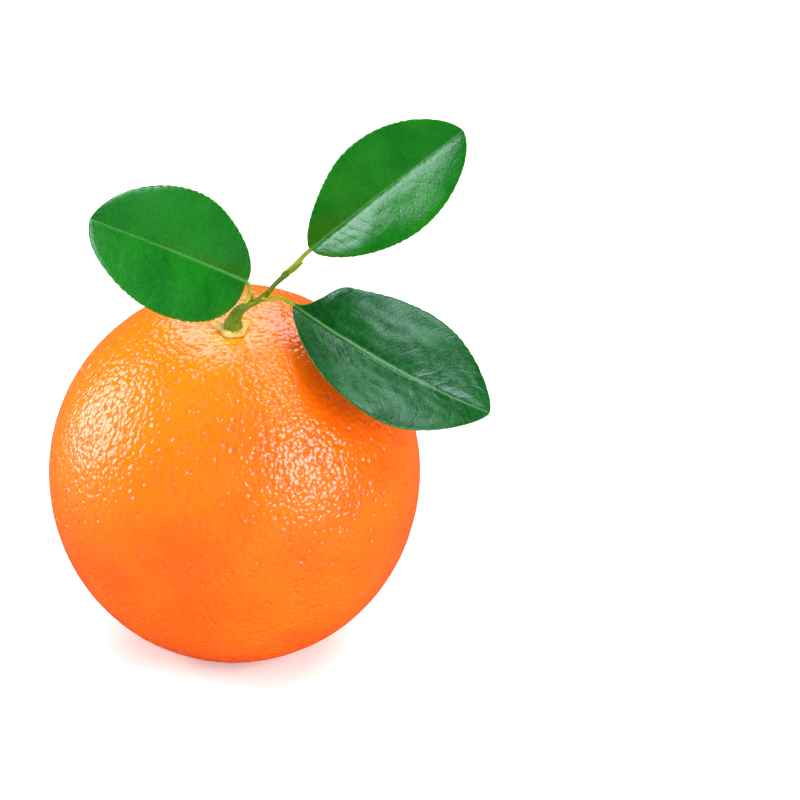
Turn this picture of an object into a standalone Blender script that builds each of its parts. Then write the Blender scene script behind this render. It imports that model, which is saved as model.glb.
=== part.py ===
"""An orange as picked: the whole fruit on its flat spot, with its calyx, stalk and a leafy twig.

Metres, +Z up. The origin is the middle of the flat spot that the fruit rests on. The stem end
leans a little towards -Y, and the twig rises to the right (+X) with three leaves.
"""
import math

import bmesh
import bpy
from mathutils import Matrix, Vector

MM = 0.001

# Fruit: widest across, a little taller than wide, resting on a small flat spot.
HALF_WIDTH = 40.0 * MM
HALF_HEIGHT = 41.6 * MM
LEAN_FORWARD = math.radians(9.5)
LEAN_RIGHT = math.radians(0.9)
FLAT_SPOT_RADIUS = 9.0 * MM
CAVITY_DEPTH = 2.4 * MM
CAVITY_SPREAD = 8.5 * MM
FURROWS = 9
FURROW_DEPTH = 0.15 * MM
FURROW_REACH = 16.0 * MM
FRUIT_SEGMENTS = 54
FRUIT_RINGS = 34
FLAT_SPOT_CUT = 0.01 * MM
FLAT_SPOT_EDGE = math.radians(40.0)

# Clearance between pieces that touch, and how much each end of a leaf joint is drawn back.
GAP = 0.3 * MM
JOINT_SETBACK = 0.35 * MM

# Calyx: the five-lobed cap between the fruit and its stalk.
CALYX_LOBES = 5
CALYX_RADIUS = 3.4 * MM
CALYX_LOBE = 0.6 * MM
CALYX_THICKNESS = 1.0 * MM
CALYX_SEGMENTS = 40
CALYX_RINGS = 10

# Stalk, twig and leaf stalks: centre lines from the stem seat, in millimetres, with radii.
STALK_ROUTE = ((0.5, -0.4, 3.3), (1.1, -0.45, 4.7), (2.3, -0.25, 5.6))
STALK_RADII = (1.95, 1.7, 1.25, 1.05, 0.95)
STALK_FOOT = 0.5 * MM
TWIG_ROUTE = (
    (2.6, -0.18, 5.75),
    (3.5, 0.2, 6.15),
    (5.25, 0.9, 6.65),
    (6.7, 1.7, 7.4),
    (7.8, 2.5, 8.15),
    (8.8, 3.4, 9.1),
    (10.15, 4.3, 10.05),
    (11.5, 5.2, 11.1),
)
TWIG_RADII = (0.85, 0.78, 0.65, 0.68, 0.58, 0.55, 0.58, 0.75)
PETIOLE_ROUTES = {
    "left": (
        (3.0, 0.35, 7.15),
        (3.45, 0.95, 7.95),
        (3.65, 1.7, 9.0),
        (3.5, 2.1, 9.8),
        (3.05, 2.5, 10.4),
    ),
    "right": (
        (7.0, 0.25, 7.15),
        (8.7, 0.1, 7.9),
        (9.9, 0.3, 7.75),
        (11.35, 0.7, 6.85),
        (12.6, 1.0, 5.8),
    ),
    "upper": (
        (11.7, 5.35, 11.3),
        (12.6, 5.95, 11.95),
        (13.9, 6.85, 12.95),
        (15.15, 7.8, 14.0),
        (16.3, 8.5, 14.8),
    ),
}
PETIOLE_RADII = {
    "left": (0.52, 0.42, 0.36, 0.34, 0.38),
    "right": (0.48, 0.40, 0.36, 0.36, 0.40),
    "upper": (0.60, 0.62, 0.55, 0.46, 0.42),
}
ROUTE_STEPS = 5
TUBE_RESOLUTION = 2

# Buds: one in the axil of each lower leaf, and a longer one at the twig's end. Each has its base
# and tip, from the stem seat in millimetres, and its radius.
BUDS = {
    "bud_left": ((4.15, 0.55, 7.3), (4.55, 0.75, 8.6), 0.42),
    "bud_right": ((7.65, 1.2, 8.65), (8.15, 0.85, 9.9), 0.40),
    "bud_tip": ((12.15, 4.0, 12.0), (14.9, 4.7, 13.9), 0.48),
}
BUD_NARROWING = 0.45
BUD_SEGMENTS = 12
BUD_RINGS = 8

# Leaf blades. Joint and tip are from the stem seat in millimetres, and facing is the upper
# side's direction. Arch lifts the middle of the midrib and sweep bends it sideways. Each half,
# towards facing x length and away from it, has its width, how full its outline is, and its skew.
LEAVES = {
    "left": {
        "joint": (3.05, 2.5, 10.4),
        "tip": (-27.3, -21.9, 37.9),
        "facing": (0.68, -0.72, 0.12),
        "arch": 1.3,
        "sweep": -0.2,
        "halves": ((13.1, 0.45, 0.98), (13.1, 0.51, 1.20)),
        "fold": 14.0,
        "shoulder": 0.0,
    },
    "right": {
        "joint": (12.6, 1.0, 5.8),
        "tip": (53.8, -9.3, -14.6),
        "facing": (0.29, -0.47, 0.83),
        "arch": 3.7,
        "sweep": -4.4,
        "halves": ((15.2, 0.66, 1.04), (14.6, 0.68, 1.06)),
        "fold": 8.0,
        "shoulder": 0.17,
    },
    "upper": {
        "joint": (16.3, 8.5, 14.8),
        "tip": (47.9, -5.8, 49.8),
        "facing": (-0.54, -0.83, 0.14),
        "arch": 1.2,
        "sweep": 0.1,
        "halves": ((11.3, 0.57, 1.26), (11.8, 0.49, 1.41)),
        "fold": 18.0,
        "shoulder": 0.0,
    },
}
LEAF_THICKNESS = 0.5 * MM
LEAF_BASE_WIDTH = 0.5 * MM
LEAF_TIP_WIDTH = 0.3 * MM
LEAF_CELLS_ALONG = 22
LEAF_CELLS_ACROSS = 10
LEAF_ROUNDING = 0.35


def clear_scene():
    for obj in list(bpy.data.objects):
        bpy.data.objects.remove(obj, do_unlink=True)


def make_collection(name):
    collection = bpy.data.collections.new(name)
    bpy.context.scene.collection.children.link(collection)
    return collection


def make_material(name, colour, roughness):
    material = bpy.data.materials.new(name)
    material.use_nodes = True
    shader = material.node_tree.nodes["Principled BSDF"]
    shader.inputs["Base Color"].default_value = (*colour, 1.0)
    shader.inputs["Roughness"].default_value = roughness
    shader.inputs["Metallic"].default_value = 0.0
    material.diffuse_color = (*colour, 1.0)
    return material


def rind_material():
    return make_material("orange_rind", (1.0, 0.22, 0.005), 0.35)


def leaf_material():
    return make_material("green_leaf", (0.012, 0.13, 0.02), 0.4)


def bark_material():
    return make_material("green_bark", (0.16, 0.27, 0.06), 0.6)


def calyx_material():
    return make_material("pale_calyx", (0.55, 0.52, 0.16), 0.7)


def in_metres(point):
    return Vector(point) * MM


def fruit_axis():
    """Rotation that leans the fruit's stem end forward and a little to the right."""
    return Matrix.Rotation(LEAN_FORWARD, 3, "X") @ Matrix.Rotation(LEAN_RIGHT, 3, "Y")


def lowest_reach():
    """How far below the fruit's centre its plain outline would reach before it is flattened."""
    return math.hypot(HALF_WIDTH * math.sin(LEAN_FORWARD), HALF_HEIGHT * math.cos(LEAN_FORWARD))


def fruit_centre():
    """Centre of the fruit, set so that the flat spot is at the origin."""
    reach = lowest_reach()
    flat_rise = FLAT_SPOT_RADIUS**2 / (2.0 * HALF_WIDTH)
    skew = (HALF_HEIGHT**2 - HALF_WIDTH**2) * math.sin(LEAN_FORWARD) * math.cos(LEAN_FORWARD)
    return Vector((0.0, -skew / reach, reach - flat_rise))


def cavity_depth(ring):
    """Depth of the stem cavity below the fruit's plain outline, RING out from the stem axis."""
    return CAVITY_DEPTH * math.exp(-((ring / CAVITY_SPREAD) ** 2))


def rind_radius(polar, turn):
    """Centre to rind, at the angle POLAR from the stem end and TURN round the stem axis."""
    across = math.sin(polar)
    up = math.cos(polar)
    plain = 1.0 / math.hypot(across / HALF_WIDTH, up / HALF_HEIGHT)
    if up <= 0.0:
        return plain
    ring = plain * across
    share = ring / FURROW_REACH
    furrow = FURROW_DEPTH * share * math.exp(1.0 - share * share) * math.cos(FURROWS * turn)
    return plain - up * (cavity_depth(ring) + furrow)


def stem_seat():
    """The bottom of the stem cavity, where the calyx sits."""
    return fruit_centre() + fruit_axis() @ Vector((0.0, 0.0, rind_radius(0.0, 0.0)))


def mesh_object(name, shape, material, collection):
    mesh = bpy.data.meshes.new(name)
    shape.to_mesh(mesh)
    shape.free()
    mesh.materials.append(material)
    mesh.shade_smooth()
    obj = bpy.data.objects.new(name, mesh)
    collection.objects.link(obj)
    return obj


def make_fruit(collection, material):
    shape = bmesh.new()
    bmesh.ops.create_uvsphere(shape, u_segments=FRUIT_SEGMENTS, v_segments=FRUIT_RINGS, radius=1.0)
    for vert in shape.verts:
        polar = math.acos(max(-1.0, min(1.0, vert.co.z)))
        turn = math.atan2(vert.co.y, vert.co.x)
        vert.co = vert.co * rind_radius(polar, turn)
    bmesh.ops.transform(shape, matrix=fruit_axis().to_4x4(), verts=shape.verts)
    bmesh.ops.translate(shape, vec=fruit_centre(), verts=shape.verts)
    everything = shape.verts[:] + shape.edges[:] + shape.faces[:]
    cut = bmesh.ops.bisect_plane(
        shape,
        geom=everything,
        dist=FLAT_SPOT_CUT,
        plane_co=(0.0, 0.0, 0.0),
        plane_no=(0.0, 0.0, -1.0),
        clear_outer=True,
    )
    rim = [part for part in cut["geom_cut"] if isinstance(part, bmesh.types.BMEdge)]
    for edge in rim:
        for vert in edge.verts:
            vert.co.z = 0.0
    bmesh.ops.contextual_create(shape, geom=rim)
    bmesh.ops.recalc_face_normals(shape, faces=shape.faces)
    fruit = mesh_object("fruit", shape, material, collection)
    fruit.data.set_sharp_from_angle(angle=FLAT_SPOT_EDGE)
    return fruit


def make_calyx(collection, material):
    """A thin lobed cap that follows the cavity's curve, its underside one gap above the rind."""
    shape = bmesh.new()
    bmesh.ops.create_uvsphere(shape, u_segments=CALYX_SEGMENTS, v_segments=CALYX_RINGS, radius=1.0)
    for vert in shape.verts:
        turn = math.atan2(vert.co.y, vert.co.x)
        share = math.hypot(vert.co.x, vert.co.y)
        ring = share * (CALYX_RADIUS + CALYX_LOBE * math.cos(CALYX_LOBES * turn))
        drop = ring * ring * HALF_HEIGHT / (2.0 * HALF_WIDTH**2)
        rise = CAVITY_DEPTH - cavity_depth(ring) - drop
        height = rise + GAP + 0.5 * CALYX_THICKNESS * (1.0 + vert.co.z)
        vert.co = (ring * math.cos(turn), ring * math.sin(turn), height)
    bmesh.ops.transform(shape, matrix=fruit_axis().to_4x4(), verts=shape.verts)
    bmesh.ops.translate(shape, vec=stem_seat(), verts=shape.verts)
    return mesh_object("calyx", shape, material, collection)


def smooth_route(points, radii):
    """(point, radius) pairs on a smooth curve through POINTS, which are Vectors in metres."""
    ends = [2.0 * points[0] - points[1], *points, 2.0 * points[-1] - points[-2]]
    route = []
    for index in range(len(points) - 1):
        before, start, end, after = ends[index : index + 4]
        for step in range(ROUTE_STEPS):
            t = step / ROUTE_STEPS
            bend = 2.0 * before - 5.0 * start + 4.0 * end - after
            twist = 3.0 * (start - end) + after - before
            point = 0.5 * (2.0 * start + (end - before) * t + bend * t * t + twist * t**3)
            route.append((point, radii[index] + (radii[index + 1] - radii[index]) * t))
    route.append((points[-1], radii[-1]))
    return route


def set_back(points, start, end):
    """The same points, with the first and last drawn in along the line by START and END."""
    moved = [point.copy() for point in points]
    moved[0] += (points[1] - points[0]).normalized() * start
    moved[-1] += (points[-2] - points[-1]).normalized() * end
    return moved


def make_tube(name, points, radii, collection, material):
    route = smooth_route(points, radii)
    curve = bpy.data.curves.new(name, "CURVE")
    curve.dimensions = "3D"
    curve.bevel_depth = MM
    curve.bevel_resolution = TUBE_RESOLUTION
    curve.use_fill_caps = True
    spline = curve.splines.new("POLY")
    spline.points.add(len(route) - 1)
    for spot, (point, radius) in zip(spline.points, route):
        spot.co = (*point, 1.0)
        spot.radius = radius
    spline.use_smooth = True
    curve.materials.append(material)
    obj = bpy.data.objects.new(name, curve)
    collection.objects.link(obj)
    return obj


def make_stalk(collection, material):
    """Square on the calyx at its foot, then bending over towards the twig."""
    axis = fruit_axis() @ Vector((0.0, 0.0, 1.0))
    foot = stem_seat() + axis * (CALYX_THICKNESS + 2.0 * GAP)
    points = [foot, foot + axis * STALK_FOOT]
    points += [stem_seat() + in_metres(point) for point in STALK_ROUTE]
    return make_tube("fruit_stalk", points, STALK_RADII, collection, material)


def make_twig(collection, material):
    points = [stem_seat() + in_metres(point) for point in TWIG_ROUTE]
    return make_tube("twig", points, TWIG_RADII, collection, material)


def make_petiole(side, collection, material):
    points = [stem_seat() + in_metres(point) for point in PETIOLE_ROUTES[side]]
    points = set_back(points, JOINT_SETBACK, JOINT_SETBACK)
    return make_tube("petiole_" + side, points, PETIOLE_RADII[side], collection, material)


def make_bud(name, collection, material):
    """A drop-shaped bud, round at its base and pointed at its tip."""
    base, tip, radius = BUDS[name]
    base = stem_seat() + in_metres(base)
    axis = stem_seat() + in_metres(tip) - base
    turn = axis.to_track_quat("Z", "Y").to_matrix()
    shape = bmesh.new()
    bmesh.ops.create_uvsphere(shape, u_segments=BUD_SEGMENTS, v_segments=BUD_RINGS, radius=1.0)
    for vert in shape.verts:
        along = 0.5 * (1.0 + vert.co.z)
        narrowing = 1.0 - BUD_NARROWING * along
        flat = Vector((vert.co.x * narrowing, vert.co.y * narrowing, 0.0)) * radius * MM
        vert.co = base + turn @ (flat + Vector((0.0, 0.0, along * axis.length)))
    return mesh_object(name, shape, material, collection)


def half_width(half, along, shoulder):
    """Width of one half of a blade, ALONG 0 at its joint to 1 at its tip."""
    width, fullness, skew = half
    outline = math.sin(math.pi * min(1.0, along) ** skew) ** fullness if 0.0 < along < 1.0 else 0.0
    if shoulder > 0.0:
        share = min(1.0, along / shoulder)
        outline *= share * share * (3.0 - 2.0 * share)
    ends = LEAF_BASE_WIDTH + (LEAF_TIP_WIDTH - LEAF_BASE_WIDTH) * along
    return width * MM * outline + ends


def blade_point(leaf, along, across):
    """Point on the middle of a blade, ACROSS -1 to 1 over its width."""
    joint = stem_seat() + in_metres(leaf["joint"])
    length = stem_seat() + in_metres(leaf["tip"]) - joint
    heading = length.normalized()
    facing = Vector(leaf["facing"])
    facing = (facing - heading * facing.dot(heading)).normalized()
    sideways = facing.cross(heading)
    bow = 4.0 * along * (1.0 - along) * MM
    start = joint + heading * JOINT_SETBACK
    middle = start + (length - heading * JOINT_SETBACK) * along
    middle += (facing * leaf["arch"] + sideways * leaf["sweep"]) * bow
    plus, minus = leaf["halves"]
    if across >= 0.0:
        width = half_width(plus, along, leaf["shoulder"])
    else:
        width = half_width(minus, along, 0.0)
    fold = math.radians(leaf["fold"])
    out = abs(across)
    lift = out * (1.0 + LEAF_ROUNDING) - LEAF_ROUNDING * out * out
    spread = sideways * (across * width * math.cos(fold))
    return middle + spread + facing * (lift * width * math.sin(fold))


def make_leaf(side, collection, material):
    shape = bmesh.new()
    bmesh.ops.create_grid(
        shape, x_segments=LEAF_CELLS_ALONG, y_segments=LEAF_CELLS_ACROSS, size=1.0
    )
    for vert in shape.verts:
        along = 0.5 * (1.0 + math.sin(0.5 * math.pi * vert.co.x))
        vert.co = blade_point(LEAVES[side], along, vert.co.y)
    leaf = mesh_object("leaf_" + side, shape, material, collection)
    wall = leaf.modifiers.new("thickness", "SOLIDIFY")
    wall.thickness = LEAF_THICKNESS
    wall.offset = 0.0
    return leaf


def build_orange():
    clear_scene()
    orange = make_collection("orange")
    rind = rind_material()
    green = leaf_material()
    bark = bark_material()
    pale = calyx_material()
    make_fruit(orange, rind)
    make_calyx(orange, pale)
    make_stalk(orange, bark)
    make_twig(orange, bark)
    for side in LEAVES:
        make_petiole(side, orange, bark)
        make_leaf(side, orange, green)
    for name in BUDS:
        make_bud(name, orange, bark)


build_orange()
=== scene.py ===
"""The looks of an orange as picked: pitted rind, dry calyx, green stalk and a twig with three leaves.

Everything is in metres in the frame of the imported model: +Z up, the origin in the middle of the
flat spot that the fruit rests on, the stem end leaning a little towards -Y.
"""
import math

import bmesh
import bpy
import numpy as np
from mathutils import Matrix, Vector, noise


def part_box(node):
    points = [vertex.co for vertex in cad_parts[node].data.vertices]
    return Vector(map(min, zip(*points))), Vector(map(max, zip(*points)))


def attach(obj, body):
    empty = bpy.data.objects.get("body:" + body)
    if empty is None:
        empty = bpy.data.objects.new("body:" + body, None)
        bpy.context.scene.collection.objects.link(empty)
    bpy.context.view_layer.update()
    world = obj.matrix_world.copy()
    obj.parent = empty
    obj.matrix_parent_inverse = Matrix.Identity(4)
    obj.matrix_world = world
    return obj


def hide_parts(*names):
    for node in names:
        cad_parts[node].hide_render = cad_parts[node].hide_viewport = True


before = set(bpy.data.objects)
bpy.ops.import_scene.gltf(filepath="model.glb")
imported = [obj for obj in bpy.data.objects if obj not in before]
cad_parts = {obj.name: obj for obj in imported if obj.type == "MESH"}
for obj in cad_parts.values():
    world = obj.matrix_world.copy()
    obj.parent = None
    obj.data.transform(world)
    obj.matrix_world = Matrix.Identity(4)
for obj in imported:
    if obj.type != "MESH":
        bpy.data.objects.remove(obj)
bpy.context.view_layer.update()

MM = 0.001

# Fruit: its lean, its shape and, at the blossom end, its scar. The flat spot's radius is where the
# plain outline meets the floor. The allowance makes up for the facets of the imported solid.
LEAN_FORWARD = math.radians(9.5)
LEAN_RIGHT = math.radians(0.9)
TALLNESS = 1.04
FACET_ALLOWANCE = 1.001
FLAT_SPOT_RADIUS = 9.0 * MM
CAVITY_DEPTH = 2.4 * MM
CAVITY_SPREAD = 8.5 * MM
SCAR_RADIUS = 2.2 * MM
SCAR_DEPTH = 0.5 * MM

# Rind: the cells along a side of its mesh, then its relief, from the creases round the cavity and
# the large lumps down to pits, small domes and grain.
RIND_CELLS = 127
CREASE_REACH = 12.0 * MM
CREASE_DEPTH = 0.28 * MM
LUMP_HEIGHT = 0.3 * MM
SWELL_SPACING = 3.2 * MM
PORE_SPACING = 2.4 * MM
PORE_DEPTH = 0.14 * MM
PIT_DEPTH = 0.2 * MM
DOME_SPACING = 1.15 * MM
DOME_HEIGHT = 0.21 * MM
GRAIN_SPACING = 1.5 * MM
GRAIN_HEIGHT = 0.17 * MM

# Calyx: each sepal's place round the stem in radians, its length and the rise of its tip in
# millimetres, and the sizes of the cap that they grow from.
SEPALS = (
    (3.02, 5.1, 0.9),
    (4.25, 3.3, 0.1),
    (5.50, 3.4, 0.1),
    (0.45, 4.2, 0.4),
    (1.70, 3.7, 0.3),
)
CALYX_RADIUS = 2.7 * MM
CALYX_LIFT = 0.3 * MM
CALYX_THICKNESS = 1.35 * MM
SEPAL_HALF_ANGLE = 0.62
WRINKLE_HEIGHT = 0.07 * MM
KEEL_HEIGHT = 0.12 * MM
CALYX_RINGS = 22
CALYX_SEGMENTS = 150

# Centre lines from the stem seat in millimetres, each point with its radius.
STALK_ROUTE = (
    (0.05, -0.1, 0.9, 2.15),
    (0.12, -0.25, 1.9, 1.85),
    (0.5, -0.4, 3.3, 1.42),
    (1.1, -0.45, 4.7, 1.15),
    (2.2, -0.25, 5.6, 1.0),
    (3.0, 0.0, 5.95, 0.88),
)
TWIG_ROUTE = (
    (1.9, -0.35, 5.5, 0.92),
    (2.6, -0.18, 5.75, 0.92),
    (3.5, 0.2, 6.15, 0.82),
    (5.25, 0.9, 6.65, 0.66),
    (6.7, 1.7, 7.4, 0.68),
    (7.8, 2.5, 8.15, 0.53),
    (8.8, 3.4, 9.1, 0.50),
    (10.15, 4.3, 10.05, 0.56),
    (11.2, 5.0, 10.85, 0.78),
    (11.75, 5.3, 11.3, 0.62),
)
PETIOLE_ROUTES = {
    "left": (
        (2.85, 0.1, 6.4, 0.62),
        (3.0, 0.35, 7.1, 0.52),
        (3.45, 0.95, 7.95, 0.42),
        (3.65, 1.7, 9.0, 0.36),
        (3.5, 2.1, 9.8, 0.36),
        (2.95, 2.45, 10.45, 0.44),
    ),
    "right": (
        (6.2, 1.15, 7.05, 0.58),
        (7.0, 0.45, 7.2, 0.50),
        (8.7, 0.1, 7.9, 0.40),
        (9.9, 0.3, 7.75, 0.36),
        (11.35, 0.7, 6.85, 0.38),
        (12.75, 1.0, 5.7, 0.46),
    ),
    "upper": (
        (11.2, 5.0, 10.9, 0.66),
        (11.9, 5.5, 11.45, 0.64),
        (12.6, 5.95, 11.95, 0.60),
        (13.9, 6.85, 12.95, 0.54),
        (15.15, 7.8, 14.0, 0.46),
        (16.45, 8.5, 14.95, 0.46),
    ),
}
STEM_SIDES = 40
STEM_STEPS = 10
STEM_GRAIN = 0.7 * MM

# Ribs round each stem: their number, their height and the height of the grain.
STALK_RIBS = (7.0, 0.06 * MM, 0.1 * MM)
TWIG_RIBS = (5.0, 0.06 * MM, 0.09 * MM)
LEAF_STALK_RIBS = (2.0, 0.03 * MM, 0.03 * MM)

# Buds, from the stem seat in millimetres: base, tip and radius.
BUDS = {
    "bud_left": ((4.0, 0.5, 7.0), (4.55, 0.75, 8.6), 0.46),
    "bud_right": ((7.45, 1.6, 8.2), (8.15, 0.85, 9.9), 0.44),
    "bud_tip": ((11.5, 4.3, 11.2), (14.9, 4.7, 13.9), 0.66),
}
BUD_RINGS = 40
BUD_SEGMENTS = 36

# Leaf blades, from the stem seat in millimetres: the joint with the leaf stalk, the tip, the way
# the upper side faces, the rise and sideways bow of the midrib, and for each half its width, how
# full its outline is and its skew. Fold is in degrees. Shoulder narrows one half by the joint, and
# curl lifts it there. Wave lifts the margins and ripple the blade, both in millimetres. Seed sets
# the blade's own unevenness, and tone runs from dark at 0 to fresh green at 1: partly each leaf's
# own green and partly painted shade, darkest on the up-facing right leaf.
LEAVES = {
    "left": {
        "joint": (3.05, 2.5, 10.4),
        "tip": (-27.3, -21.9, 37.9),
        "facing": (0.68, -0.72, 0.12),
        "arch": 1.3,
        "sweep": -0.2,
        "halves": ((13.1, 0.45, 0.98), (13.1, 0.51, 1.20)),
        "fold": 14.0,
        "shoulder": 0.0,
        "curl": 0.0,
        "wave": 0.35,
        "seed": 3.0,
        "tone": 0.55,
        "ripple": 0.07,
    },
    "right": {
        "joint": (12.6, 1.0, 5.8),
        "tip": (53.8, -9.3, -14.6),
        "facing": (0.29, -0.47, 0.83),
        "arch": 3.7,
        "sweep": -4.4,
        "halves": ((15.2, 0.66, 1.04), (14.6, 0.68, 1.06)),
        "fold": 8.0,
        "shoulder": 0.17,
        "curl": 1.6,
        "wave": 0.45,
        "seed": 11.0,
        "tone": 0.14,
        "ripple": 0.14,
    },
    "upper": {
        "joint": (16.3, 8.5, 14.8),
        "tip": (47.9, -5.8, 49.8),
        "facing": (-0.54, -0.83, 0.14),
        "arch": 1.2,
        "sweep": 0.1,
        "halves": ((11.3, 0.57, 1.26), (11.8, 0.49, 1.41)),
        "fold": 18.0,
        "shoulder": 0.0,
        "curl": 0.0,
        "wave": 0.3,
        "seed": 19.0,
        "tone": 0.8,
        "ripple": 0.055,
    },
}
JOINT_SETBACK = 0.2
LEAF_BASE_WIDTH = 0.5
LEAF_TIP_WIDTH = 0.3
LEAF_THICKNESS = 0.46
LEAF_ROUNDING = 0.35
LEAF_ROWS = 170
LEAF_COLUMNS = 88
VEINS = 14.0
VEIN_SLANT = 0.17
SCALLOP_LENGTH = 1.9
SCALLOP_DEPTH = 0.24
BUCKLE = 0.3

# Relief of a blade in millimetres: midrib, the groove beside it, side veins and the quilt between.
UPPER_RIB = 0.11
UPPER_GROOVE = 0.09
UPPER_VEIN = 0.012
UPPER_QUILT = 0.009
LOWER_RIB = 0.55
LOWER_VEIN = 0.07
LOWER_QUILT = 0.07

# Colours of the rind. The painted light side is the way that the rind's painted light faces: it
# is painted yellower and lighter towards the top and left, where the lamps fall.
RIND_DEEP = (0.75, 0.076, 0.0, 1.0)
RIND_BRIGHT = (0.76, 0.100, 0.0, 1.0)
RIND_PAINTED_LIGHT = (0.78, 0.185, 0.0, 1.0)
# Painted shade: the pits and the hollows between the small domes are painted darker.
RIND_PIT_SHADE = (0.72, 0.07, 0.0, 1.0)
RIND_HOLLOW_SHADE = (0.74, 0.07, 0.0, 1.0)
RIND_BY_STEM = (0.85, 0.36, 0.02, 1.0)
RIND_SCAR = (0.10, 0.035, 0.008, 1.0)
PAINTED_LIGHT_SIDE = (-0.6, 0.1, 0.8)

# Colours of the leaves. A pair is the two ends of a blotchy mix.
# The dark pair is the leaves' own dark green and also painted shade, used where a leaf's tone is low.
LEAF_DARK_AND_SHADED = ((0.0, 0.024, 0.003, 1.0), (0.0, 0.04, 0.005, 1.0))
LEAF_FRESH = ((0.0, 0.115, 0.0, 1.0), (0.006, 0.16, 0.0, 1.0))
LEAF_SPECK = (0.008, 0.135, 0.008, 1.0)
LEAF_VEIN = (0.02, 0.19, 0.02, 1.0)
LEAF_RIB = (0.075, 0.24, 0.045, 1.0)
LEAF_RIM = (0.13, 0.22, 0.01, 1.0)
LEAF_UNDER = ((0.055, 0.175, 0.035, 1.0), (0.085, 0.23, 0.05, 1.0))
LEAF_UNDER_VEIN = (0.2, 0.34, 0.1, 1.0)

# Colours of a stem: at its start, at its far end and in its dark streaks.
BARK_COLOURS = ((0.14, 0.175, 0.002), (0.07, 0.135, 0.003), (0.012, 0.045, 0.002))
LEAF_STALK_COLOURS = ((0.40, 0.35, 0.01), (0.2, 0.28, 0.015), (0.08, 0.13, 0.005))

# Calyx colours: a blotchy pair, specks, the outer rim and the seam round the stalk.
CALYX_BLOTCHES = ((0.26, 0.15, 0.004, 1.0), (0.52, 0.33, 0.05, 1.0))
CALYX_SPECK = (0.80, 0.62, 0.25, 1.0)
CALYX_RIM = (0.55, 0.37, 0.10, 1.0)
CALYX_SEAM = (0.10, 0.055, 0.004, 1.0)

# View: the camera's height over the table, its distance, its lens, and where the fruit's centre
# lies in the picture, right and up from the middle.
VIEW_HEIGHT = math.radians(30.0)
VIEW_DISTANCE = 0.927
LENS = 193.5
SENSOR = 36.0
FRUIT_RIGHT = -35.68 * MM
FRUIT_UP = -15.74 * MM

# Softboxes: name, the way from the fruit, distance, width and height, and power in watts.
SOFTBOXES = (
    ("left_softbox", (-0.90, 0.22, 0.24), 1.0, (0.54, 0.78), 12.0),
    ("right_softbox", (0.74, -0.565, 0.38), 1.0, (0.48, 0.56), 10.5),
    ("back_softbox", (0.0, 0.75, 0.80), 1.2, (0.95, 0.85), 12.0),
    ("top_softbox", (0.50, 0.10, 0.86), 1.0, (0.34, 0.50), 4.2),
)

# Strength of the surroundings as seen, as mirrored, and as light from all round and the front.
WORLD_SEEN = 1.1
WORLD_MIRRORED = 0.05
WORLD_AROUND = 0.35
WORLD_FRONT = 1.75
FLOOR_COLOUR = (0.88, 0.90, 0.905, 1.0)
FLOOR_MIRRORED = (0.05, 0.05, 0.05, 1.0)


def fruit_turn():
    """Rotation that leans the fruit's stem end forward and a little to the right."""
    return Matrix.Rotation(LEAN_FORWARD, 3, "X") @ Matrix.Rotation(LEAN_RIGHT, 3, "Y")


FRUIT_LOW, FRUIT_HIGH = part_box("fruit")
HALF_WIDTH = 0.5 * (FRUIT_HIGH.x - FRUIT_LOW.x) * FACET_ALLOWANCE
HALF_HEIGHT = HALF_WIDTH * TALLNESS
FRUIT_TURN = fruit_turn()


def fruit_centre():
    """Centre of the fruit, which stands on its flat spot at the origin."""
    reach = math.hypot(HALF_WIDTH * math.sin(LEAN_FORWARD), HALF_HEIGHT * math.cos(LEAN_FORWARD))
    skew = (HALF_HEIGHT**2 - HALF_WIDTH**2) * math.sin(LEAN_FORWARD) * math.cos(LEAN_FORWARD)
    return Vector((0.0, -skew / reach, reach - FLAT_SPOT_RADIUS**2 / (2.0 * HALF_WIDTH)))


FRUIT_CENTRE = fruit_centre()
STEM_AXIS = FRUIT_TURN @ Vector((0.0, 0.0, 1.0))
STEM_SEAT = FRUIT_CENTRE + STEM_AXIS * (HALF_HEIGHT - CAVITY_DEPTH)


# ---------------------------------------------------------------- node trees


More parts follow.
